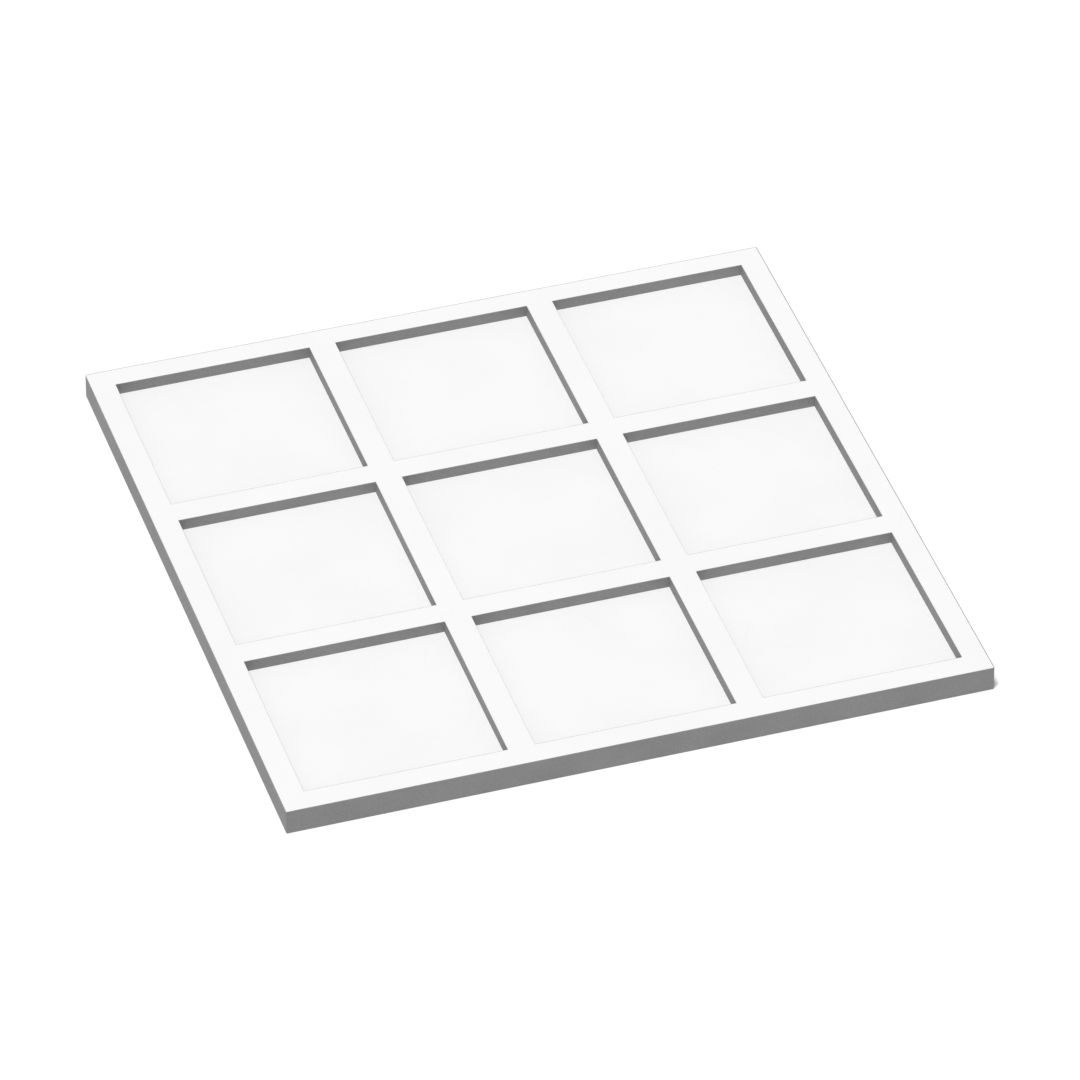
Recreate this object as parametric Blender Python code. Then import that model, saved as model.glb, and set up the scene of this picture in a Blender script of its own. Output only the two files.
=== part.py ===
"""A tic-tac-toe board with nine square pockets, modelled piece by piece as it is put together.

Four grey fibreboard rails are mitred into a square frame round a base panel. Four bars of the same
fibreboard lie on the panel, halved into each other where they cross, with a stub tenon at each end in
the rails. One sheet of white laminate with nine windows faces the rails and bars, and the nine squares
cut out of it line the floors of the pockets.

Metres, +Z up. The origin is the middle of the underside, +X runs along the front rail and +Y to the back.
"""

import math

import bmesh
import bpy
from mathutils import Matrix, Vector

# Driving dimensions
BOARD_SIDE = 0.2000  # outside of the frame, both ways
RAIL_WIDTH = 0.0070  # frame rail, seen from above
BAR_WIDTH = 0.0077  # grid bar, seen from above
BAR_HEIGHT = 0.0034  # grid bar, without the laminate on it
PANEL_THICKNESS = 0.0034  # base panel
SHEET_THICKNESS = 0.0005  # white laminate, on the grid and in the pockets
RABBET_REACH = 0.0040  # how far the base panel runs in under each rail
TENON_LENGTH = 0.0020  # stub tenon on a bar's end
TENON_HEIGHT = 0.0016
TENON_SHOULDER = 0.0015  # left on each side of a tenon
KEY_LENGTH = 0.0040  # loose key in a mitre, along the mitre line
KEY_REACH = 0.0015  # how far a key goes into each rail
KEY_THICKNESS = 0.0010
GLUE_LINE = 0.0001  # left open between two glued faces
FLOOR_CLEARANCE = 0.00015  # round each pocket's floor square

# Names of the repeated pieces, counted round from the front or from the front left corner
SIDES = ("front", "right", "back", "left")
CORNERS = ("front_right", "back_right", "back_left", "front_left")
ROWS = ("front", "middle", "back")
COLUMNS = ("left", "centre", "right")
BARS = (("front", "left"), ("back", "right"))  # a bar along a row, and one along a column

# Heights of the stack, from the underside up
BAR_BOTTOM = PANEL_THICKNESS + GLUE_LINE
BAR_TOP = BAR_BOTTOM + BAR_HEIGHT
BAR_MIDDLE = BAR_BOTTOM + BAR_HEIGHT / 2
SHEET_BOTTOM = BAR_TOP + GLUE_LINE

# Plan sizes
HALF_BOARD = BOARD_SIDE / 2
RAIL_INSIDE = HALF_BOARD - RAIL_WIDTH
POCKET_SIDE = (2 * RAIL_INSIDE - len(BARS) * BAR_WIDTH) / len(ROWS)
POCKET_PITCH = POCKET_SIDE + BAR_WIDTH
TENON_WIDTH = BAR_WIDTH - 2 * TENON_SHOULDER
KEY_SIZE = (2 * KEY_REACH, KEY_LENGTH, KEY_THICKNESS)
CUTTER_MARGIN = RAIL_WIDTH / 2  # how far a cutter runs out past the face that it opens

# Finishes: colour, roughness
CORE_GREY = ((0.26, 0.26, 0.26, 1.0), 0.75)
LAMINATE_WHITE = ((0.93, 0.93, 0.93, 1.0), 0.45)
KEY_BEECH = ((0.60, 0.45, 0.29, 1.0), 0.60)


def clear_scene():
    for obj in list(bpy.data.objects):
        bpy.data.objects.remove(obj, do_unlink=True)


def new_collection(name):
    collection = bpy.data.collections.new(name)
    bpy.context.scene.collection.children.link(collection)
    return collection


def new_material(name, finish):
    colour, roughness = finish
    material = bpy.data.materials.new(name)
    material.use_nodes = True
    shader = material.node_tree.nodes["Principled BSDF"]
    shader.inputs["Base Color"].default_value = colour
    shader.inputs["Roughness"].default_value = roughness
    shader.inputs["Metallic"].default_value = 0.0
    material.diffuse_color = colour
    return material


def centres(names):
    """Where the middles of a row of pockets or bars lie, from the board's middle, one for each name."""
    first = -(len(names) - 1) / 2
    return [(first + step) * POCKET_PITCH for step in range(len(names))]


def box_mesh(name, size, centre=(0.0, 0.0, 0.0)):
    mesh = bpy.data.meshes.new(name)
    shape = bmesh.new()
    place = Matrix.Translation(centre) @ Matrix.Diagonal((*size, 1.0))
    bmesh.ops.create_cube(shape, size=1.0, matrix=place)
    shape.to_mesh(mesh)
    shape.free()
    return mesh


def box_between(name, low, high):
    low = Vector(low)
    high = Vector(high)
    return box_mesh(name, high - low, (low + high) / 2)


def helper(name, mesh):
    """A cutter or a pattern: something to work from, which isn't a piece of the board."""
    obj = bpy.data.objects.new(name, mesh)
    obj.hide_render = True
    obj.display_type = "WIRE"
    helpers.objects.link(obj)
    return obj


def cut(pattern, cutter):
    boolean = pattern.modifiers.new(cutter.name, "BOOLEAN")
    boolean.operation = "DIFFERENCE"
    boolean.object = cutter


def join(pattern, addition):
    boolean = pattern.modifiers.new(addition.name, "BOOLEAN")
    boolean.operation = "UNION"
    boolean.object = addition


def finished_mesh(pattern):
    """The pattern's mesh with its cuts made."""
    graph = bpy.context.evaluated_depsgraph_get()
    mesh = bpy.data.meshes.new_from_object(pattern.evaluated_get(graph))
    mesh.name = pattern.name.replace("_pattern", "")
    return mesh


def piece(name, data, material, place=None):
    """One named piece of the board, put in place under the board's own empty."""
    obj = bpy.data.objects.new(name, data)
    if not data.materials:
        data.materials.append(material)
    obj.parent = board
    obj.matrix_local = place or Matrix.Identity(4)
    board_pieces.objects.link(obj)
    return obj


def quarter_turn(count):
    return Matrix.Rotation(count * math.pi / 2, 4, "Z")


def cut_mitres(mesh):
    """Cuts both ends of the front rail to 45 degrees, half a glue line short of the corner's diagonal."""
    shape = bmesh.new()
    shape.from_mesh(mesh)
    for way in (-1.0, 1.0):
        outwards = Vector((way, 1.0, 0.0)).normalized()
        everything = shape.verts[:] + shape.edges[:] + shape.faces[:]
        bmesh.ops.bisect_plane(
            shape, geom=everything, plane_co=-outwards * GLUE_LINE / 2, plane_no=outwards, clear_outer=True
        )
        rim = [edge for edge in shape.edges if edge.is_boundary]
        bmesh.ops.holes_fill(shape, edges=rim)
    bmesh.ops.recalc_face_normals(shape, faces=shape.faces[:])
    shape.to_mesh(mesh)
    shape.free()


def key_place(way):
    """Where a mitre key lies: along the mitre line, half way up the rail above its rabbet."""
    middle = HALF_BOARD - RAIL_WIDTH / 2
    turned = Matrix.Rotation(way * math.pi / 4, 4, "Z")
    return Matrix.Translation((way * middle, -middle, BAR_MIDDLE)) @ turned


def rail_mesh():
    """The front rail. All four are alike: an L section, mitred, with two mortises and two key slots."""
    low = (-HALF_BOARD, -HALF_BOARD, 0.0)
    high = (HALF_BOARD, -RAIL_INSIDE, BAR_TOP)
    blank = box_between("rail_pattern", low, high)
    cut_mitres(blank)
    pattern = helper("rail_pattern", blank)
    rabbet = box_between(
        "rail_rabbet",
        (-BOARD_SIDE, -RAIL_INSIDE - RABBET_REACH, -CUTTER_MARGIN),
        (BOARD_SIDE, -RAIL_INSIDE + CUTTER_MARGIN, BAR_BOTTOM),
    )
    cut(pattern, helper("rail_rabbet", rabbet))
    half_mortise = Vector((TENON_WIDTH / 2 + GLUE_LINE, 0.0, TENON_HEIGHT / 2 + GLUE_LINE))
    mortise_end = -RAIL_INSIDE - TENON_LENGTH - GLUE_LINE
    mortise_mouth = -RAIL_INSIDE + CUTTER_MARGIN
    for number, along in enumerate(centres(BARS)):
        name = f"rail_mortise_{number}"
        low = Vector((along, mortise_end, BAR_MIDDLE)) - half_mortise
        high = Vector((along, mortise_mouth, BAR_MIDDLE)) + half_mortise
        cut(pattern, helper(name, box_between(name, low, high)))
    slot = [size + 2 * GLUE_LINE for size in KEY_SIZE]
    for way, end in ((-1, "left"), (1, "right")):
        name = f"rail_key_slot_{end}"
        cutter = helper(name, box_mesh(name, slot))
        cutter.matrix_world = key_place(way)
        cut(pattern, cutter)
    return finished_mesh(pattern)


def bar_mesh():
    """A bar along X, its notches downwards: half its height, as wide as the bar that crosses it."""
    half_length = RAIL_INSIDE - GLUE_LINE
    blank = box_mesh("bar_pattern", (2 * half_length, BAR_WIDTH, BAR_HEIGHT))
    pattern = helper("bar_pattern", blank)
    tenons = box_mesh("bar_tenons", (2 * (RAIL_INSIDE + TENON_LENGTH), TENON_WIDTH, TENON_HEIGHT))
    join(pattern, helper("bar_tenons", tenons))
    half_notch = BAR_WIDTH / 2 + GLUE_LINE
    half_width = BAR_WIDTH / 2 + CUTTER_MARGIN
    for number, along in enumerate(centres(BARS)):
        name = f"bar_notch_{number}"
        low = (along - half_notch, -half_width, -BAR_HEIGHT / 2 - CUTTER_MARGIN)
        high = (along + half_notch, half_width, GLUE_LINE / 2)
        cut(pattern, helper(name, box_between(name, low, high)))
    return finished_mesh(pattern)


def add_square(outline, side, centre=(0.0, 0.0)):
    """A closed square in a flat curve. Inside another one it leaves a window."""
    spline = outline.splines.new("POLY")
    spline.points.add(3)
    for number, point in enumerate(spline.points):
        turn = math.pi / 4 + number * math.pi / 2
        reach = side / math.sqrt(2.0)
        point.co = (centre[0] + reach * math.cos(turn), centre[1] + reach * math.sin(turn), 0.0, 1.0)
    spline.use_cyclic_u = True


def face_outline():
    """The laminate on the grid: the board's square with a window over each pocket."""
    outline = bpy.data.curves.new("face_sheet", "CURVE")
    outline.dimensions = "2D"
    outline.fill_mode = "BOTH"
    outline.extrude = SHEET_THICKNESS / 2
    add_square(outline, BOARD_SIDE)
    for x in centres(COLUMNS):
        for y in centres(ROWS):
            add_square(outline, POCKET_SIDE, (x, y))
    return outline


def add_rails_and_keys():
    rail = rail_mesh()
    for turns, side in enumerate(SIDES):
        piece(f"{side}_rail", rail, grey, quarter_turn(turns))
    key = box_mesh("mitre_key", KEY_SIZE)
    for turns, corner in enumerate(CORNERS):
        piece(f"mitre_key_{corner}", key, beech, quarter_turn(turns) @ key_place(1))


def add_bars():
    """Two bars along X with their notches down, and two along Y turned over, with their notches up."""
    bar = bar_mesh()
    turned_over = quarter_turn(1) @ Matrix.Rotation(math.pi, 4, "X")
    for (row_name, column_name), across in zip(BARS, centres(BARS)):
        row_place = Matrix.Translation((0.0, across, BAR_MIDDLE))
        piece(f"row_bar_{row_name}", bar, grey, row_place)
        column_place = Matrix.Translation((across, 0.0, BAR_MIDDLE)) @ turned_over
        piece(f"column_bar_{column_name}", bar, grey, column_place)


def add_base_panel():
    half_panel = RAIL_INSIDE + RABBET_REACH - GLUE_LINE
    low = (-half_panel, -half_panel, 0.0)
    high = (half_panel, half_panel, PANEL_THICKNESS)
    piece("base_panel", box_between("base_panel", low, high), grey)


def add_laminate():
    raised = Matrix.Translation((0.0, 0.0, SHEET_BOTTOM + SHEET_THICKNESS / 2))
    piece("face_sheet", face_outline(), white, raised)
    floor_side = POCKET_SIDE - 2 * FLOOR_CLEARANCE
    floor = box_mesh("pocket_floor", (floor_side, floor_side, SHEET_THICKNESS))
    floor_height = BAR_BOTTOM + SHEET_THICKNESS / 2
    for row, y in zip(ROWS, centres(ROWS)):
        for column, x in zip(COLUMNS, centres(COLUMNS)):
            place = Matrix.Translation((x, y, floor_height))
            piece(f"pocket_floor_{row}_{column}", floor, white, place)


clear_scene()
board_pieces = new_collection("tic_tac_toe_board")
helpers = new_collection("cutters_and_patterns")
board = bpy.data.objects.new("board", None)
board_pieces.objects.link(board)
grey = new_material("grey_fibreboard", CORE_GREY)
white = new_material("white_laminate", LAMINATE_WHITE)
beech = new_material("beech_key", KEY_BEECH)
add_base_panel()
add_rails_and_keys()
add_bars()
add_laminate()
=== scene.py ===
# %% [markdown]
# # Dressing a tic-tac-toe board
#
# The board is a shallow square tray with nine square pockets, three rows of three. A tray like this is
# built up: rails and bars of grey fibreboard stand on a fibreboard panel, and white laminate faces all that
# lies level. The grey that shows on every other face is painted shade, for the faces turned away from the
# light above. The board's solids come packed, at their real size and in their places. This lesson gives them
# what a joiner does last, which is closing the glue lines, easing the sharp corners and filing the laminate's
# rims, and then it gives every surface its finish. It ends with a plain studio and the camera.

# %% Load the solids
import math

import bmesh
import bpy
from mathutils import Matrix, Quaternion, Vector


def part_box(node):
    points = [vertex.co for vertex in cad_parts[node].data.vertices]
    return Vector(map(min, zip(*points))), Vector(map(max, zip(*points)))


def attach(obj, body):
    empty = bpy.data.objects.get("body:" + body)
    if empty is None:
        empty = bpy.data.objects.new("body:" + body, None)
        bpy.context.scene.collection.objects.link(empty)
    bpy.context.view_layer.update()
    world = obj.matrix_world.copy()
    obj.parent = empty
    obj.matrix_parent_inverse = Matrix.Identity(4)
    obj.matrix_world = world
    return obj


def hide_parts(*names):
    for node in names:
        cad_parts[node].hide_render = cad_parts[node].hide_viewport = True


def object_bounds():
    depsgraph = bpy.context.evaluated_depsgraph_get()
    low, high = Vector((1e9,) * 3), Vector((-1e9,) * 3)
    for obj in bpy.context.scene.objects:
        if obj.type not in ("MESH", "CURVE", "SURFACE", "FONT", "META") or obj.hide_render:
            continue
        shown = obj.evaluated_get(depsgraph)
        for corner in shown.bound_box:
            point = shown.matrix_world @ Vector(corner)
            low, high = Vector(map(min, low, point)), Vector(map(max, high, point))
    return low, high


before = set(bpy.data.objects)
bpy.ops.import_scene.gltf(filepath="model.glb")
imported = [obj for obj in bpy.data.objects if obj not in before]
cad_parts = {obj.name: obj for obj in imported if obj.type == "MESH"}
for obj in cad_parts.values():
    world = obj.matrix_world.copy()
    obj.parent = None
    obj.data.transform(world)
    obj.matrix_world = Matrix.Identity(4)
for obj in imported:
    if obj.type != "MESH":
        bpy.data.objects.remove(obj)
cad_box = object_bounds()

print("solids loaded:", len(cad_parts))

# %% [markdown]
# ## Reading the sizes off the solids
#
# The sizes could be typed in again, but the solids already know them. The grid's lines come from the boxes
# round the rails and bars: along each way there are eight of them, which are the two sides of every rail and
# bar. Between the lines, bars and pockets take turns.

# %% Measure the board
MM = 0.001
X, Y, Z = range(3)


def grid_lines(axis, rails_and_bars):
    """Where the sides of these rails and bars lie along an axis, in order."""
    return sorted(corner[axis] for name in rails_and_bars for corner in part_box(name))


LINES_X = grid_lines(X, ("left_rail", "column_bar_left", "column_bar_right", "right_rail"))
LINES_Y = grid_lines(Y, ("front_rail", "row_bar_front", "row_bar_back", "back_rail"))
SHEET_BOTTOM, BOARD_TOP = (corner.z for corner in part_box("face_sheet"))
FLOOR_BOTTOM, FLOOR_TOP = (corner.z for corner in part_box("pocket_floor_middle_centre"))
HALF_BOARD = LINES_X[-1]
POCKET_SIDE = LINES_X[2] - LINES_X[1]
POCKET_PITCH = LINES_X[4] - LINES_X[2]
print(f"board {2 * HALF_BOARD / MM:.1f} mm, {BOARD_TOP / MM:.1f} mm high")
print(f"pockets {POCKET_SIDE / MM:.2f} mm, one every {POCKET_PITCH / MM:.2f} mm")

# %% [markdown]
# ## Starting a piece from its solid
#
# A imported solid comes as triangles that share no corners. Welding the corners and dissolving the flat edges
# between triangles gives back the plain faces that a joiner would see, which cut and round cleanly. The
# solid itself must stay as it is, so the work is done on a copy, and the copy then stands for it.

# %% Copy a solid and finish a piece
WELD = 0.001 * MM
FLAT = math.radians(0.5)


def copied_solid(name):
    """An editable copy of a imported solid, with its triangles merged into flat faces."""
    shape = bmesh.new()
    shape.from_mesh(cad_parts[name].data)
    bmesh.ops.remove_doubles(shape, verts=shape.verts[:], dist=WELD)
    bmesh.ops.dissolve_limit(shape, angle_limit=FLAT, verts=shape.verts[:], edges=shape.edges[:])
    return shape


def new_object(name, shape):
    """The finished shape as an object, with its faces pointing out."""
    bmesh.ops.recalc_face_normals(shape, faces=shape.faces[:])
    mesh = bpy.data.meshes.new(name)
    shape.to_mesh(mesh)
    shape.free()
    made = bpy.data.objects.new(name, mesh)
    bpy.context.scene.collection.objects.link(made)
    return made


def stand_in_for(name, made):
    """Puts a finished piece in the place of its solid."""
    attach(made, "root")
    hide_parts(name)
    return made


rail_copy = copied_solid("front_rail")
rail_triangles = len(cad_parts["front_rail"].data.polygons)
print(f"front rail: {rail_triangles} triangles merge into {len(rail_copy.faces)} faces")
rail_copy.free()

# %% [markdown]
# ## Closing the glue lines
#
# The solids keep a tenth of a millimetre open at every joint. On the bench, glue fills that and the clamps
# squeeze it to a hairline. So every corner that lies close to where a joint shuts is moved there. That is
# simpler than scaling a piece, which would also move its tenons and slots.

# %% Seat the joints
HAIRLINE = 0.01 * MM
GLUE_REACH = 0.2 * MM


def seat(shape, axis, place):
    """Moves the corners that lie within reach of a place along an axis to that place."""
    for corner in shape.verts:
        if abs(corner.co[axis] - place) < GLUE_REACH:
            corner.co[axis] = place


def shut_mitres(shape, along):
    """Lengthens a rail until its mitred ends lie a hairline from the corners' diagonals."""
    across = Y if along == X else X
    for corner in shape.verts:
        reach = abs(corner.co[across])
        if abs(abs(corner.co[along]) - reach) < GLUE_REACH:
            corner.co[along] = math.copysign(reach - HAIRLINE, corner.co[along])


print(f"glue lines shut to {HAIRLINE / MM:.2f} mm")

# %% [markdown]
# ## Easing the frame
#
# The four rails are sanded after they are glued, so the rounding at a corner runs across both rails. Beveling
# each rail by itself would leave a groove there. Instead one block of the board's size gets the rounded
# edges, and every piece on the outside will keep only what lies inside the block.

# %% Make the sanded block
CORNER_RADIUS = 0.30 * MM
FOOT_RADIUS = 0.12 * MM
ROUND_STEPS = 4
ROUND_PROFILE = 0.5


def rounded(shape, edges, radius):
    """Rounds these edges of a shape."""
    bmesh.ops.bevel(
        shape, geom=edges, offset=radius, segments=ROUND_STEPS, profile=ROUND_PROFILE, affect="EDGES"
    )


def low_edges(shape):
    """The edges that lie on the surface that the board stands on."""
    return [edge for edge in shape.edges if max(corner.co.z for corner in edge.verts) < WELD]


def upright_edges(shape):
    """The edges that stand straight up."""
    return [edge for edge in shape.edges if (edge.verts[0].co - edge.verts[1].co).xy.length < WELD]


def sanded_block():
    """The board's outside as one block, twice as tall, so that only its sides and foot cut."""
    shape = bmesh.new()
    bmesh.ops.create_cube(shape, size=2 * HALF_BOARD)
    for corner in shape.verts:
        corner.co.z = 0.0 if corner.co.z < 0.0 else 2 * BOARD_TOP
    rounded(shape, upright_edges(shape), CORNER_RADIUS)
    rounded(shape, low_edges(shape), FOOT_RADIUS)
    return new_object("sanded_block", shape)


block = sanded_block()
print("sanded block:", len(block.data.polygons), "faces")

# %% [markdown]
# ## Sanding a piece
#
# A Boolean modifier that intersects leaves what a piece shares with the block. The modifier could stay on
# the piece, but then the block would have to stay too. So the result is read back as the piece's own mesh.
# The modifier hands over corners and faces in a chance order, which differs from run to run. Sorting them by
# where they lie makes every run give the same mesh.

# %% Write the sanding helper


def in_order(mesh):
    """The same mesh with its corners and faces in order of place."""
    corners = sorted(mesh.vertices, key=lambda corner: tuple(corner.co))
    ranks = {corner.index: rank for rank, corner in enumerate(corners)}
    rings = []
    for face in mesh.polygons:
        ring = [ranks[number] for number in face.vertices]
        first = ring.index(min(ring))
        rings.append(ring[first:] + ring[:first])
    ordered = bpy.data.meshes.new(mesh.name)
    ordered.from_pydata([corner.co for corner in corners], [], sorted(rings))
    return ordered


def sand(made):
    """Leaves of a piece what lies inside the block."""
    boolean = made.modifiers.new("sanding", "BOOLEAN")
    boolean.operation = "INTERSECT"
    boolean.object = block
    graph = bpy.context.evaluated_depsgraph_get()
    result = bpy.data.meshes.new_from_object(made.evaluated_get(graph))
    made.modifiers.clear()
    made.data = in_order(result)


print("sanding helper ready")

# %% [markdown]
# ## Rails
#
# Each rail has an L section, with a rabbet for the panel, mortises for the bars and slots for the keys. It
# could be drawn again as a section and extruded, but the solid already has every cut. So the copies are
# brought up under the laminate, shut at the mitres and sanded.

# %% Dress the rails
SIDES = ("front", "right", "back", "left")
UNDER_SHEET = SHEET_BOTTOM - HAIRLINE


def dressed_rail(name, along):
    """A rail that runs along an axis, with its joints shut and its outside sanded."""
    shape = copied_solid(name)
    seat(shape, Z, UNDER_SHEET)
    shut_mitres(shape, along)
    made = new_object(f"finished_{name}", shape)
    sand(made)
    return stand_in_for(name, made)


rails = [dressed_rail(f"{side}_rail", along) for side, along in zip(SIDES, (X, Y, X, Y))]
print("rails:", [rail.name for rail in rails])

# %% [markdown]
# ## Bars
#
# The bars are halved where they cross, and they end in stub tenons. Their shoulders are brought up to the
# rails and the cheeks of their notches to the bars that cross them. Without that, dark slots would show in
# the pockets' corners. Drawing new bars would mean cutting the halvings again, so these are copies too. A bar
# is no part of the outside, so it isn't sanded.

# %% Dress the bars


def dressed_bar(name, along, lines):
    """A bar that runs along an axis, with its ends and notches shut against what they meet on the lines."""
    shape = copied_solid(name)
    seat(shape, Z, UNDER_SHEET)
    pockets = list(zip(lines[1::2], lines[2::2]))
    for start, end in pockets:
        seat(shape, along, start + HAIRLINE)
        seat(shape, along, end - HAIRLINE)
    made = new_object(f"finished_{name}", shape)
    return stand_in_for(name, made)


bars = [dressed_bar(f"row_bar_{place}", X, LINES_X) for place in ("front", "back")]
bars += [dressed_bar(f"column_bar_{place}", Y, LINES_Y) for place in ("left", "right")]
print("bars:", [bar.name for bar in bars])

# %% [markdown]
# ## Base panel
#
# The panel lies in the rails' rabbets, flush underneath. Its lower arris is eased a little, as a joiner does
# so that no splinter lifts, and that draws a fine line along the joint. A Bevel modifier would ease the
# hidden edges too, so only the lower ones are picked.

# %% Dress the base panel
PANEL_ARRIS = 0.15 * MM


def dressed_panel():
    """The panel with its lower arris eased."""
    shape = copied_solid("base_panel")
    rounded(shape, low_edges(shape), PANEL_ARRIS)
    made = new_object("finished_base_panel", shape)
    return stand_in_for("base_panel", made)


panel = dressed_panel()
print("base panel:", len(panel.data.polygons), "faces")

# %% [markdown]
# ## Sheets of laminate
#
# Laminate comes as a thin flat sheet, a white skin on a grey core. Every sheet here starts as a flat grid
# whose lines are moved to where they are needed, and it is then extruded to its thickness. That gives square,
# even faces, where cutting holes with Booleans would leave long slivers. Only what lies level on top is skin,
# and every cut edge takes the core's grey, which is painted shade on the faces that don't lie level.

# %% Write the sheet helpers
LEVEL = 0.99  # the least upward share of a face's normal that counts as level
# The second number marks the faces that take the core's grey, painted shade.
SKIN, CORE_PAINTED_SHADE = range(2)
HALF_UNIT = 0.5


def stretched_grid(lines_x, lines_y, height):
    """A flat grid with a line at each of these places."""
    shape = bmesh.new()
    cells_x = len(lines_x) - 1
    cells_y = len(lines_y) - 1
    bmesh.ops.create_grid(shape, x_segments=cells_x, y_segments=cells_y, size=HALF_UNIT)
    for corner in shape.verts:
        column = round((corner.co.x + HALF_UNIT) * cells_x)
        row = round((corner.co.y + HALF_UNIT) * cells_y)
        corner.co = (lines_x[column], lines_y[row], height)
    return shape


def thicken(shape, thickness):
    """Extrudes a flat shape upwards into a sheet."""
    raised = bmesh.ops.extrude_face_region(shape, geom=shape.faces[:], use_keep_orig=True)
    corners = [item for item in raised["geom"] if isinstance(item, bmesh.types.BMVert)]
    bmesh.ops.translate(shape, verts=corners, vec=(0.0, 0.0, thickness))
    bmesh.ops.recalc_face_normals(shape, faces=shape.faces[:])


def skin_and_painted_shade(made):
    """Shows the skin on what lies level on top, and the core's grey, painted shade, everywhere else."""
    for face in made.data.polygons:
        face.material_index = SKIN if face.normal.z > LEVEL else CORE_PAINTED_SHADE


print("sheet helpers ready")

# %% [markdown]
# ## Filed rims
#
# A cut edge of laminate is sharp and chips, so it is filed at a slope, and the slope takes the grey of the
# core, painted shade, as a fine grey line. A bevel cuts as far down as it cuts in, but a file held low cuts
# mostly in. So the grid gets one more line inside each rim, where the slope begins, and the corners along the
# rim drop a little. Playing pieces slide in over the front rim of each pocket and rub it wider, and the back
# and right arrises of the board are filed widest.

# %% Write the filing helpers
CRISP_ARRIS = 0.08 * MM
RUBBED_ARRIS = 0.16 * MM
FILED_ARRIS = 0.24 * MM
ARRIS_DROP = 0.07 * MM


def with_arrises(lines, rubbed):
    """The grid's lines, with one more inside each rim. Every rail and bar starts on an even line."""
    starts = [line + CRISP_ARRIS for line in lines[0::2]]
    ends = [line - rubbed for line in lines[1:-1:2]]
    last_end = lines[-1] - FILED_ARRIS
    return sorted([*lines, *starts, *ends, last_end])


def file_rims(shape):
    """Drops a sheet's top corners along every rim."""
    for corner in shape.verts:
        on_rim = any(abs(face.normal.z) < 1.0 - LEVEL for face in corner.link_faces)
        if on_rim and corner.co.z > SHEET_BOTTOM + WELD:
            corner.co.z -= ARRIS_DROP


print("filing helpers ready")

# %% [markdown]
# ## Face sheet
#
# One sheet covers the whole grid, so no seam shows on top. The cells over the pockets are taken out before it
# is thickened, and it is sanded with the rails, so that its corners follow theirs.

# %% Make the face sheet


def over_pocket(face):
    """Whether a cell of the grid lies over a pocket."""
    from_middle = [abs(math.remainder(place, POCKET_PITCH)) for place in face.calc_center_median().xy]
    return max(from_middle) < POCKET_SIDE / 2


def face_sheet():
    """The sheet on the rails and bars, with a window over each pocket."""
    shape = stretched_grid(
        with_arrises(LINES_X, CRISP_ARRIS), with_arrises(LINES_Y, RUBBED_ARRIS), SHEET_BOTTOM
    )
    windows = [face for face in shape.faces if over_pocket(face)]
    print("windows cut:", len(windows))
    bmesh.ops.delete(shape, geom=windows, context="FACES")
    thicken(shape, BOARD_TOP - SHEET_BOTTOM)
    file_rims(shape)
    made = new_object("finished_face_sheet", shape)
    sand(made)
    skin_and_painted_shade(made)
    return stand_in_for("face_sheet", made)


sheet = face_sheet()
bpy.data.objects.remove(block)
print("face sheet:", len(sheet.data.polygons), "faces")

# %% [markdown]
# ## Pocket floors
#
# The squares that came out of the sheet line the pockets. They are pressed in until they touch the walls, and
# their own rims are eased by a hair. Here a plain bevel does, because nothing has worn them.

# %% Make the pocket floors
ROWS = ("front", "middle", "back")
COLUMNS = ("left", "centre", "right")
FLOOR_RIM = 0.05 * MM
FLOOR_SIDE = POCKET_SIDE - 2 * HAIRLINE


def top_rims(shape):
    """The edges between a sheet's top and its upright edges."""
    found = []
    for edge in shape.edges:
        slopes = sorted(face.normal.z for face in edge.link_faces)
        if slopes[-1] > LEVEL and slopes[0] < 1.0 - LEVEL:
            found.append(edge)
    return found


def pocket_floor(name):
    """One floor square, grown to touch the walls round it."""
    low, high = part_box(name)
    middle = (low + high) / 2
    lines = [[place - FLOOR_SIDE / 2, place + FLOOR_SIDE / 2] for place in middle.xy]
    shape = stretched_grid(*lines, FLOOR_BOTTOM)
    thicken(shape, FLOOR_TOP - FLOOR_BOTTOM)
    rounded(shape, top_rims(shape), FLOOR_RIM)
    made = new_object(f"finished_{name}", shape)
    skin_and_painted_shade(made)
    return stand_in_for(name, made)


floors = [pocket_floor(f"pocket_floor_{row}_{column}") for row in ROWS for column in COLUMNS]
print("pocket floors:", len(floors))

# %% [markdown]
# ## Building finishes from nodes
#
# Every finish is made of shader nodes and reads where it is from the piece's own coordinates, so it needs no
# pictures and no unwrapping. Node trees get long in code. A few small helpers keep them readable: one adds a
# node and wires its inputs, and the others are the sums and textures that come up again and again.

# %% Write the node helpers


def add_node(tree, kind, inputs=None, **settings):
    """Adds a shader node. Its inputs take a value, or the output of another node."""
    made = tree.nodes.new(kind)
    for name, value in settings.items():
        setattr(made, name, value)
    for socket, value in (inputs or {}).items():
        if isinstance(value, bpy.types.NodeSocket):
            tree.links.new(value, made.inputs[socket])
        else:
            made.inputs[socket].default_value = value
    return made


def math_node(tree, operation, *values, **settings):
    """The output of a Math node on these values."""
    made = add_node(tree, "ShaderNodeMath", dict(enumerate(values)), operation=operation, **settings)
    return made.outputs[0]


def vector_node(tree, operation, first, second):
    """The output of a Vector Math node on two vectors."""
    return add_node(tree, "ShaderNodeVectorMath", {0: first, 1: second}, operation=operation).outputs[0]


def eased(tree, value, start, end, low=0.0, high=1.0):
    """Turns a value from start to end into one from low to high, without corners."""
    inputs = {0: value, 1: start, 2: end, 3: low, 4: high}
    return add_node(tree, "ShaderNodeMapRange", inputs, interpolation_type="SMOOTHSTEP").outputs[0]


def object_place(tree):
    """Where a point lies in its piece's own coordinates, in metres."""
    return add_node(tree, "ShaderNodeTexCoord").outputs["Object"]


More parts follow.
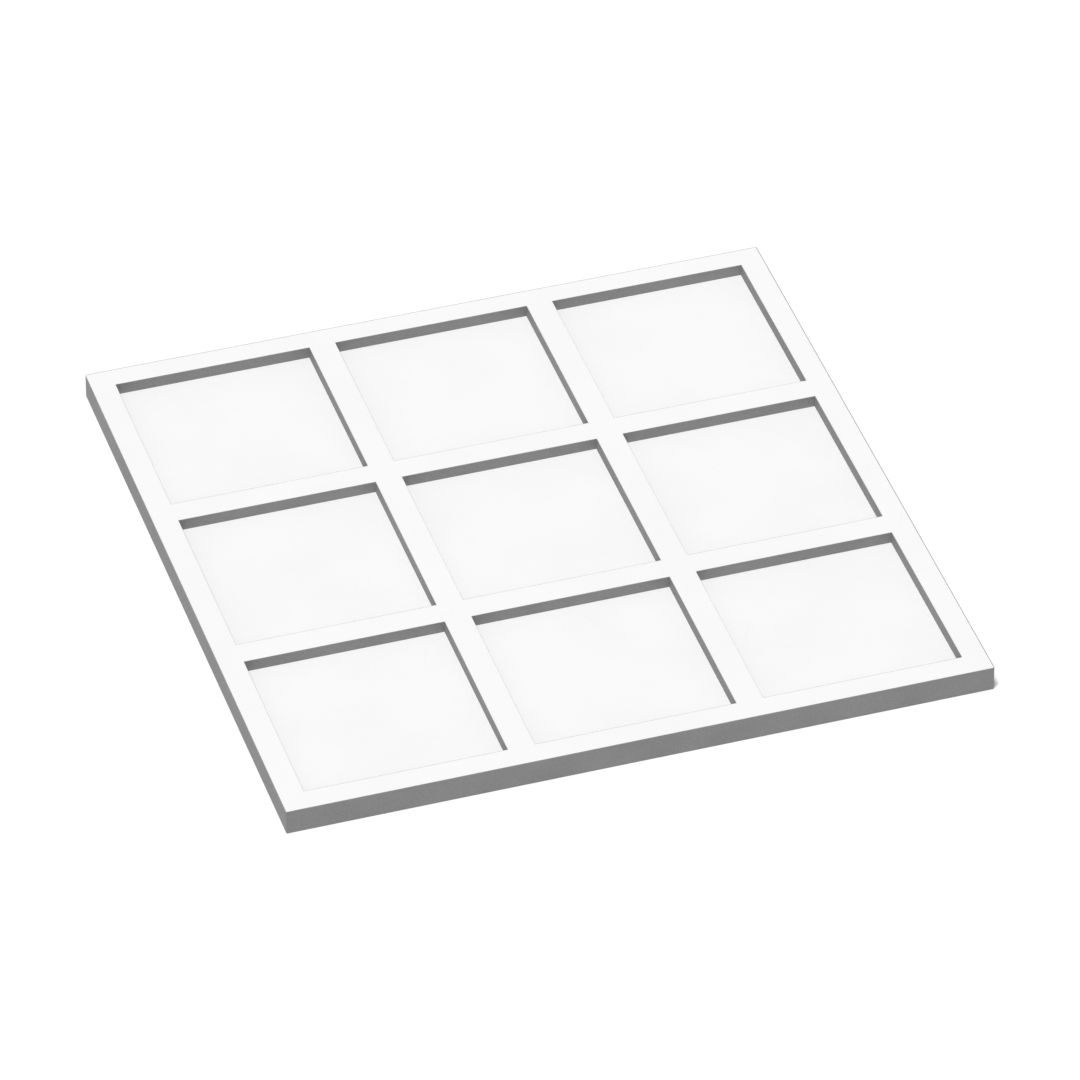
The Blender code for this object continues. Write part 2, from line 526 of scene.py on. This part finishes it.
def noise(tree, place, per_metre, detail=2.0, roughness=0.5):
    """A cloudy value from nought to one."""
    inputs = {"Vector": place, "Scale": per_metre, "Detail": detail, "Roughness": roughness}
    return add_node(tree, "ShaderNodeTexNoise", inputs).outputs[0]


print("node helpers ready")

# %% [markdown]
# ## Node groups
#
# Some effects are on more than one finish. Copying their nodes into each material would let the copies drift
# apart, so each effect is a node group, which is built once and used in many materials with values of their
# own.

# %% Write the group helpers


def new_group(name, inputs, outputs):
    """An empty node group, with number sockets of these names."""
    tree = bpy.data.node_groups.new(name, "ShaderNodeTree")
    for socket, value in inputs.items():
        made = tree.interface.new_socket(socket, in_out="INPUT", socket_type="NodeSocketFloat")
        made.default_value = value
    for socket in outputs:
        tree.interface.new_socket(socket, in_out="OUTPUT", socket_type="NodeSocketFloat")
    return tree, tree.nodes.new("NodeGroupInput").outputs, tree.nodes.new("NodeGroupOutput").inputs


def use_group(tree, group, **values):
    """The outputs of a group placed in a material, with its own values."""
    return add_node(tree, "ShaderNodeGroup", values, node_tree=group).outputs


print("group helpers ready")

# %% [markdown]
# ## Strands
#
# Two of the finishes are made of short lines that lie every way: the wood fibres in the board, and the
# scratches on its face. A noise that is drawn out gives lines too, but they all run one way and look brushed.
# A Voronoi texture does better. It parts space into cells, each with a middle and a colour by chance. So
# every cell can hold one strand through its middle, turned by its colour. In three dimensions the strands
# fill the stock, and a face that is cut through them shows dashes where they lie along it and dots where they
# end in it. In two dimensions they lie on the face, as scratches do.

# %% Lay one strand in each cell
FULL_TURN = 2 * math.pi
TAPER_FROM = 0.2  # how far from its middle a strand starts to fade, as a share of its length


def turned_cells(tree, place, spacing, dimensions):
    """A point's place in its own cell, turned by chance, and the cell's three numbers by chance."""
    per_metre = math_node(tree, "DIVIDE", 1.0, spacing)
    inputs = {"Vector": place, "Scale": per_metre}
    cells = add_node(tree, "ShaderNodeTexVoronoi", inputs, voronoi_dimensions=dimensions).outputs
    chance = add_node(tree, "ShaderNodeSeparateColor", {0: cells["Color"]}).outputs
    local = vector_node(tree, "SUBTRACT", place, cells["Position"])
    inputs = {"Vector": local, "Angle": math_node(tree, "MULTIPLY", chance[0], FULL_TURN)}
    turned = add_node(tree, "ShaderNodeVectorRotate", inputs, rotation_type="Z_AXIS").outputs[0]
    return add_node(tree, "ShaderNodeSeparateXYZ", {0: turned}).outputs, chance


def strands(tree, place, spacing, length, width, dimensions="3D"):
    """A mask of short lines, one in each cell, and two numbers by chance for each of them."""
    offset, chance = turned_cells(tree, place, spacing, dimensions)
    across = math_node(tree, "ABSOLUTE", offset["Y"])
    if dimensions == "3D":
        sideways = math_node(tree, "MULTIPLY", across, across)
        squared = math_node(tree, "MULTIPLY_ADD", offset["Z"], offset["Z"], sideways)
        across = math_node(tree, "SQRT", squared)
    half_width = math_node(tree, "MULTIPLY", width, 0.5)
    half_length = math_node(tree, "MULTIPLY", length, 0.5)
    taper = math_node(tree, "MULTIPLY", length, TAPER_FROM)
    body = eased(tree, across, half_width, 0.0)
    ends = eased(tree, math_node(tree, "ABSOLUTE", offset["X"]), half_length, taper)
    return math_node(tree, "MULTIPLY", body, ends), chance[1], chance[2]


print("strand helper ready")

# %% [markdown]
# ## Fibre flecks
#
# Fibreboard is pressed from wood fibres. One set of strands is a shade paler than the ground and another a
# shade darker, and a fine noise between them is the fuzz that a sanded cut keeps. All sizes hang on one, the
# fleck, so the same group serves coarse and fine stock. It gives a tone for the colour and a height for
# the bump.

# %% Build the fleck group
FIBRE_LENGTH = 1.3  # in flecks
FIBRE_WIDTH = 0.3  # in flecks
FUZZ_PER_FLECK = 2.0
FIBRE_CONTRAST = 0.9
FIBRE_RELIEF = 0.4
DARK_SET_APART = (0.013, 0.029, 0.007)


def fibre_fleck_group():
    """Pale and dark fibres on a fuzzy ground."""
    tree, given, result = new_group("Fibre Flecks", {"Fleck": 0.6 * MM}, ("Tone", "Height"))
    place = object_place(tree)
    length = math_node(tree, "MULTIPLY", given["Fleck"], FIBRE_LENGTH)
    width = math_node(tree, "MULTIPLY", given["Fleck"], FIBRE_WIDTH)
    pale, _, _ = strands(tree, place, given["Fleck"], length, width)
    elsewhere = vector_node(tree, "ADD", place, DARK_SET_APART)
    dark, _, _ = strands(tree, elsewhere, given["Fleck"], length, width)
    per_metre = math_node(tree, "DIVIDE", FUZZ_PER_FLECK, given["Fleck"])
    fuzz = noise(tree, place, per_metre, detail=3.0, roughness=0.65)
    ground = eased(tree, fuzz, start=0.2, end=0.8, low=0.2, high=0.8)
    lifted = math_node(tree, "MULTIPLY_ADD", pale, FIBRE_CONTRAST, ground)
    tone = math_node(tree, "MULTIPLY_ADD", dark, -FIBRE_CONTRAST, lifted, use_clamp=True)
    tree.links.new(tone, result["Tone"])
    raised = math_node(tree, "MULTIPLY_ADD", pale, FIBRE_RELIEF, fuzz)
    tree.links.new(math_node(tree, "MULTIPLY_ADD", dark, -FIBRE_RELIEF, raised), result["Height"])
    return tree


fibre_flecks = fibre_fleck_group()
print("group:", fibre_flecks.name)

# %% [markdown]
# ## Broad mottle
#
# No sheet is one even colour. A painted picture could show that, but it would repeat or blur. A slow noise,
# many millimetres across, lets each finish drift a little between two shades and never repeats.

# %% Build the mottle group


def broad_mottle_group():
    """Soft patches of one size."""
    tree, given, result = new_group("Broad Mottle", {"Patch": 20 * MM}, ("Mask",))
    per_metre = math_node(tree, "DIVIDE", 1.0, given["Patch"])
    cloud = noise(tree, object_place(tree), per_metre, detail=3.0, roughness=0.55)
    tree.links.new(eased(tree, cloud, start=0.3, end=0.7), result["Mask"])
    return tree


broad_mottle = broad_mottle_group()
print("group:", broad_mottle.name)

# %% [markdown]
# ## Hairline scuffs
#
# A board that is played on gets faint scratches where pieces slide. They are strands on the face, long and
# thin, and only a share of the cells has one. No hand moves dead straight, so a slow noise first bends the
# ground that they are drawn on.

# %% Build the scuff group
SCUFF_SIZES = {"Spacing": 16 * MM, "Length": 13 * MM, "Width": 0.16 * MM, "Share": 0.5, "Bow": 12 * MM}
BENDS_PER_METRE = 1.0 / (60 * MM)


def hairline_scuff_group():
    """Scratches that lie every way, each as deep as chance has it."""
    tree, given, result = new_group("Hairline Scuffs", SCUFF_SIZES, ("Mask",))
    place = object_place(tree)
    slow = {"Vector": place, "Scale": BENDS_PER_METRE, "Detail": 0.0}
    drift = add_node(tree, "ShaderNodeTexNoise", slow).outputs["Color"]
    bow = add_node(tree, "ShaderNodeCombineXYZ", {0: given["Bow"], 1: given["Bow"]}).outputs[0]
    bent = vector_node(tree, "ADD", place, vector_node(tree, "MULTIPLY", drift, bow))
    sizes = (given["Spacing"], given["Length"], given["Width"])
    lines, depth, luck = strands(tree, bent, *sizes, dimensions="2D")
    chosen = math_node(tree, "LESS_THAN", luck, given["Share"])
    scratch = math_node(tree, "MULTIPLY", lines, depth)
    tree.links.new(math_node(tree, "MULTIPLY", scratch, chosen), result["Mask"])
    return tree


hairline_scuffs = hairline_scuff_group()
print("group:", hairline_scuffs.name)

# %% [markdown]
# ## Distance from the pockets' walls
#
# The pockets' floors are darker along the foot of a wall, and fingers leave a trace along the grid's rims.
# Both need to know how far a point is from the nearest wall. It could be painted on each piece, but the
# pockets repeat evenly.
# So wrapping the coordinates at the pockets' pitch lets one small group serve all nine.

# %% Build the wall group


def from_wall_group():
    """How far a point lies inwards of its pocket's walls, or outwards, below nought."""
    sizes = {"Pitch": POCKET_PITCH, "Pocket": POCKET_SIDE}
    tree, given, result = new_group("From Wall", sizes, ("Inwards",))
    place = add_node(tree, "ShaderNodeSeparateXYZ", {0: object_place(tree)}).outputs
    half_pitch = math_node(tree, "MULTIPLY", given["Pitch"], 0.5)
    less_half = math_node(tree, "MULTIPLY", given["Pitch"], -0.5)
    from_middle = [
        math_node(tree, "ABSOLUTE", math_node(tree, "WRAP", place[axis], half_pitch, less_half))
        for axis in ("X", "Y")
    ]
    farthest = math_node(tree, "MAXIMUM", *from_middle)
    half_pocket = math_node(tree, "MULTIPLY", given["Pocket"], 0.5)
    tree.links.new(math_node(tree, "SUBTRACT", half_pocket, farthest), result["Inwards"])
    return tree


from_wall = from_wall_group()
print("group:", from_wall.name)

# %% [markdown]
# ## Materials
#
# Each finish is a Principled shader. Two colours a shade apart are mixed by the groups' masks, and the same
# masks move the roughness and a fine bump. Values that are the same all over are set on the shader's own
# sockets, where an export can read them.

# %% Start a material
MIX_FIRST, MIX_SECOND, MIX_RESULT = 6, 7, 2  # the colour sockets of a Mix node


def new_material(name):
    """A new material, its node tree and its shader."""
    material = bpy.data.materials.new(name)
    material.use_nodes = True
    tree = material.node_tree
    return material, tree, tree.nodes["Principled BSDF"]


def grey(level):
    """A colour with no hue."""
    return (level, level, level, 1.0)


def mixed(tree, factor, first, second):
    """A colour between two, by a factor."""
    inputs = {"Factor": factor, MIX_FIRST: first, MIX_SECOND: second}
    return add_node(tree, "ShaderNodeMix", inputs, data_type="RGBA").outputs[MIX_RESULT]


def bump(tree, shader, height, depth, strength):
    """Lets a height raise the shader's surface."""
    made = add_node(tree, "ShaderNodeBump", {"Height": height, "Distance": depth, "Strength": strength})
    tree.links.new(made.outputs[0], shader.inputs["Normal"])


print("material helpers ready")

# %% [markdown]
# ## White laminate skin
#
# Matt laminate is white paper under a clear resin, pressed against a fine pebbled plate. The pebble is about
# a quarter of a millimetre across and a few hundredths deep. Modelling it would take millions of faces, so
# it goes in as bump. The skins of the grid and of the floors differ only in how they darken near the walls:
# a trace of hands along the grid's rims, and a darker band along the foot of the pockets' walls.

# %% Make the white skin
SKIN_WHITE = 0.94
SKIN_HANDLED = 0.92
SKIN_PATCH = 26 * MM
SKIN_SHEEN = 0.35
SKIN_ROUGH = 0.60
HANDLED_ROUGHER = 0.06
SCUFF_GREY = 0.78
SCUFF_STRENGTH = 0.6
SCUFF_ROUGHER = 0.20
NEAR_WALL_GREY = 0.62
PEBBLES_PER_METRE = 1.0 / (0.25 * MM)
PEBBLE_DEPTH = 0.03 * MM


def scratches(tree, spacing):
    """Long scuffs, with fewer short ones between them."""
    long = use_group(tree, hairline_scuffs, Spacing=spacing, Length=0.9 * spacing)["Mask"]
    short = use_group(tree, hairline_scuffs, Spacing=0.6 * spacing, Length=0.4 * spacing, Share=0.3)["Mask"]
    return math_node(tree, "MULTIPLY", math_node(tree, "MAXIMUM", long, short), SCUFF_STRENGTH)


def white_skin(name, scuff_spacing, dark_reach, dark_share):
    """Laminate skin, darker near the walls up to a share, fading out over a reach."""
    material, tree, shader = new_material(name)
    mottle = use_group(tree, broad_mottle, Patch=SKIN_PATCH)["Mask"]
    scratched = scratches(tree, scuff_spacing)
    from_edge = math_node(tree, "ABSOLUTE", use_group(tree, from_wall)["Inwards"])
    # The skin is darker near the pockets' walls and the grid's rims, up to a share, fading out over a reach.
    darkened = eased(tree, from_edge, start=dark_reach, end=0.0, low=0.0, high=dark_share)
    colour = mixed(tree, mottle, grey(SKIN_WHITE), grey(SKIN_HANDLED))
    colour = mixed(tree, scratched, colour, grey(SCUFF_GREY))
    colour = mixed(tree, darkened, colour, grey(NEAR_WALL_GREY))
    tree.links.new(colour, shader.inputs["Base Color"])
    rough = math_node(tree, "MULTIPLY_ADD", mottle, HANDLED_ROUGHER, SKIN_ROUGH)
    rough = math_node(tree, "MULTIPLY_ADD", scratched, SCUFF_ROUGHER, rough)
    tree.links.new(rough, shader.inputs["Roughness"])
    shader.inputs["Specular IOR Level"].default_value = SKIN_SHEEN
    pebble = noise(tree, object_place(tree), PEBBLES_PER_METRE, detail=1.0)
    bump(tree, shader, pebble, PEBBLE_DEPTH, strength=1.0)
    return material


grid_skin = white_skin("white_laminate_grid", scuff_spacing=12 * MM, dark_reach=0.6 * MM, dark_share=0.04)
pocket_skin = white_skin("white_laminate_pocket", scuff_spacing=17 * MM, dark_reach=1.6 * MM, dark_share=0.05)
print("skins:", grid_skin.name, pocket_skin.name)

# %% [markdown]
# ## Grey fibreboard and grey core, painted shade
#
# The rails, the bars and the laminate's core take the same grey, so the upright faces read as one. That grey
# is painted shade, for the faces turned away from the light above: the upright faces and the underside. They
# could share one material, but the core is pressed paper, with finer flecks and a smoother cut than the
# fibreboard. The panel's underside is coarser, and the table has scratched it.

# %% Make the greys
# These two greys are painted shade, for every face turned away from the light above.
PAINTED_SHADE_DARK = 0.216
PAINTED_SHADE_PALE = 0.323
FIBRE_PATCH = 17 * MM
PATCH_CONTRAST = 0.25
MOTTLE_MIDDLE = 0.5
FLECK_ROUGHER = 0.12
FLECK_BUMP = 0.6
RUBBED_GREY = 0.39


def painted_shade_stock(name, fleck, roughness, depth):
    """A grey stock, painted shade: its material, and the tree, shader and colour in it for more to be added.
    """
    material, tree, shader = new_material(name)
    flecks = use_group(tree, fibre_flecks, Fleck=fleck)
    mottle = use_group(tree, broad_mottle, Patch=FIBRE_PATCH)["Mask"]
    drift = math_node(tree, "SUBTRACT", mottle, MOTTLE_MIDDLE)
    tone = math_node(tree, "MULTIPLY_ADD", drift, PATCH_CONTRAST, flecks["Tone"])
    colour = mixed(tree, tone, grey(PAINTED_SHADE_DARK), grey(PAINTED_SHADE_PALE))
    tree.links.new(colour, shader.inputs["Base Color"])
    rough = math_node(tree, "MULTIPLY_ADD", flecks["Tone"], FLECK_ROUGHER, roughness)
    tree.links.new(rough, shader.inputs["Roughness"])
    bump(tree, shader, flecks["Height"], depth, FLECK_BUMP)
    return material, tree, shader, colour


def rubbed_stock(name, fleck, roughness, depth):
    """A grey stock, painted shade, with the scratches that a table leaves on an underside."""
    material, tree, shader, colour = painted_shade_stock(name, fleck, roughness, depth)
    scuffs = use_group(tree, hairline_scuffs, Spacing=19 * MM, Length=17 * MM, Width=0.3 * MM)["Mask"]
    tree.links.new(mixed(tree, scuffs, colour, grey(RUBBED_GREY)), shader.inputs["Base Color"])
    return material


# The rails, the bars, the laminate's cut edges and the panel take this grey, painted shade.
rail_painted_shade = painted_shade_stock("grey_fibreboard_rail_painted_shade", fleck=0.7 * MM, roughness=0.68, depth=0.03 * MM)[0]
core_painted_shade = painted_shade_stock("grey_laminate_core_painted_shade", fleck=0.25 * MM, roughness=0.55, depth=0.01 * MM)[0]
panel_painted_shade = rubbed_stock("grey_fibreboard_panel_painted_shade", fleck=0.9 * MM, roughness=0.70, depth=0.03 * MM)
print("greys:", rail_painted_shade.name, core_painted_shade.name, panel_painted_shade.name)

# %% [markdown]
# ## Beech keys
#
# The keys are shut away in the mitres and never show, so their solids stay as they are packed. They still get
# the plain beech that a joiner would plane them from. A wave texture gives neat rings, but beech has hardly
# any, so a noise that is squeezed one way stands for the grain, with the flecks of its rays.

# %% Make the beech
BEECH_PALE = (0.64, 0.48, 0.31, 1.0)
BEECH_DARK = (0.52, 0.37, 0.23, 1.0)
GRAIN_PER_METRE = 1.0 / (1.5 * MM)
GRAIN_SQUEEZE = (1.0, 1.0, 6.0)


def beech_wood():
    """Plain beech."""
    material, tree, shader = new_material("plain_beech")
    squeezed = vector_node(tree, "MULTIPLY", object_place(tree), GRAIN_SQUEEZE)
    grain = noise(tree, squeezed, GRAIN_PER_METRE, detail=4.0, roughness=0.6)
    flecks = use_group(tree, fibre_flecks, Fleck=0.3 * MM)
    tone = math_node(tree, "MULTIPLY", grain, flecks["Tone"], use_clamp=True)
    tree.links.new(mixed(tree, tone, BEECH_DARK, BEECH_PALE), shader.inputs["Base Color"])
    rough = eased(tree, grain, start=0.3, end=0.7, low=0.5, high=0.65)
    tree.links.new(rough, shader.inputs["Roughness"])
    bump(tree, shader, flecks["Height"], depth=0.02 * MM, strength=0.5)
    return material


beech = beech_wood()
print("beech:", beech.name)

# %% [markdown]
# ## Putting the finishes on
#
# A piece of one stock takes one material. A sheet of laminate takes two, the skin and then the core's grey,
# painted shade, in the order of the numbers that its faces were given. The keys' solids already have a slot,
# so theirs is filled.

# %% Assign the materials
CORNERS = ("front_right", "back_right", "back_left", "front_left")


def put_on(made, *materials):
    """Gives a piece its materials, in the order of its faces' numbers."""
    for material in materials:
        made.data.materials.append(material)


for made in rails + bars:
    put_on(made, rail_painted_shade)
put_on(panel, panel_painted_shade)
put_on(sheet, grid_skin, core_painted_shade)
for made in floors:
    put_on(made, pocket_skin, core_painted_shade)
for corner in CORNERS:
    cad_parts[f"mitre_key_{corner}"].material_slots[0].material = beech
print("materials:", len(bpy.data.materials))

# %% [markdown]
# ## Studio
#
# The board lies on a plain white floor in a soft white surround, with one broad lamp high up on the camera's
# side. Together they light a level face about as strongly as its colour is written, and the upright faces a
# little less. From there the lamp throws its shadows behind the rims, where the camera doesn't look, so the
# pockets stay clean. The camera sees the surround and the floor as white, which sends no more light to the
# board, and the floor keeps the board's soft shadow.

# %% Light the studio
SURROUND = 0.30
LAMP = 0.755
LAMP_SPREAD = math.radians(12)
LAMP_FROM = Vector((-0.24, -0.22, 1.0))


def seen_directly(tree):
    """One for what the camera sees, also in a gloss or through glass, and nought for light on its way."""
    rays = add_node(tree, "ShaderNodeLightPath").outputs
    shine = math_node(tree, "MAXIMUM", rays["Is Glossy Ray"], rays["Is Transmission Ray"])
    return math_node(tree, "MAXIMUM", rays["Is Camera Ray"], shine)


def white_surround():
    """A world that is white to look at and gives a soft, even light."""
    world = bpy.data.worlds.new("white_surround")
    world.use_nodes = True
    tree = world.node_tree
    light = tree.nodes["Background"]
    light.inputs["Color"].default_value = grey(1.0)
    strength = eased(tree, seen_directly(tree), start=0.0, end=1.0, low=SURROUND, high=1.0)
    tree.links.new(strength, light.inputs["Strength"])
    bpy.context.scene.world = world


def soft_lamp():
    """A far lamp. An energy of pi lights a face that is turned to it at full strength."""
    lamp = bpy.data.lights.new("soft_lamp", "SUN")
    lamp.energy = LAMP * math.pi
    lamp.angle = LAMP_SPREAD
    made = bpy.data.objects.new("soft_lamp", lamp)
    made.rotation_euler = LAMP_FROM.to_track_quat("Z", "Y").to_euler()
    bpy.context.scene.collection.objects.link(made)


white_surround()
soft_lamp()
bpy.context.scene.view_settings.view_transform = "Standard"
print("studio: surround", SURROUND, "lamp", LAMP)

# %% [markdown]
# ## Floor
#
# The floor is one large flat face just under the board. It could be made brighter with more light, but that
# would fall on the board as well. So it glows a little, and only for what the camera sees, which lifts it to
# white and still leaves the shadow on it.

# %% Lay the floor
FLOOR_WHITE = 0.90
FLOOR_GLOW = 0.13
FLOOR_REACH = 20.0
FLOOR_GAP = 0.05 * MM


def floor_finish():
    """Dull white, lifted a little for what the camera sees."""
    material, tree, shader = new_material("studio_floor")
    shader.inputs["Base Color"].default_value = grey(FLOOR_WHITE)
    shader.inputs["Roughness"].default_value = 1.0
    shader.inputs["Specular IOR Level"].default_value = 0.0
    shader.inputs["Emission Color"].default_value = grey(1.0)
    glow = math_node(tree, "MULTIPLY", seen_directly(tree), FLOOR_GLOW)
    tree.links.new(glow, shader.inputs["Emission Strength"])
    return material


def studio_floor():
    """The floor under the board."""
    shape = bmesh.new()
    bmesh.ops.create_grid(shape, x_segments=1, y_segments=1, size=FLOOR_REACH)
    bmesh.ops.translate(shape, verts=shape.verts[:], vec=(0.0, 0.0, cad_box[0].z - FLOOR_GAP))
    made = new_object("studio_floor", shape)
    put_on(made, floor_finish())
    return made


floor = studio_floor()
print("floor:", round(floor.dimensions.x), "m across")

# %% [markdown]
# ## Camera
#
# The picture is taken from the front left with a long lens, a good two metres off, which keeps the board's
# sides almost parallel. The camera's place is given as a photographer would say it: where it looks, from
# which bearing, how high and how far. That is easier to judge than a place and three angles. The hair of roll
# is the picture's own.

# %% Place the camera
LOOKS_AT = Vector((-0.48 * MM, -10.01 * MM, BOARD_TOP))
BEARING = math.radians(-17.825)
HEIGHT_ANGLE = math.radians(38.566)
ROLL = math.radians(0.144)
DISTANCE = 2.4483
FIELD = math.radians(6.9553)
VIEW_AXIS = Vector((0.0, 0.0, 1.0))


def photo_camera():
    """The camera at the picture's viewing angle."""
    camera = bpy.data.cameras.new("photo_camera")
    camera.angle = FIELD
    back = Vector((
        math.sin(BEARING) * math.cos(HEIGHT_ANGLE),
        -math.cos(BEARING) * math.cos(HEIGHT_ANGLE),
        math.sin(HEIGHT_ANGLE),
    ))
    made = bpy.data.objects.new("photo_camera", camera)
    made.location = LOOKS_AT + back * DISTANCE
    level = (-back).to_track_quat("-Z", "Y")
    made.rotation_euler = (level @ Quaternion(VIEW_AXIS, ROLL)).to_euler()
    bpy.context.scene.collection.objects.link(made)
    bpy.context.scene.camera = made
    return made


camera = photo_camera()
print("camera at", [round(place, 3) for place in camera.location])
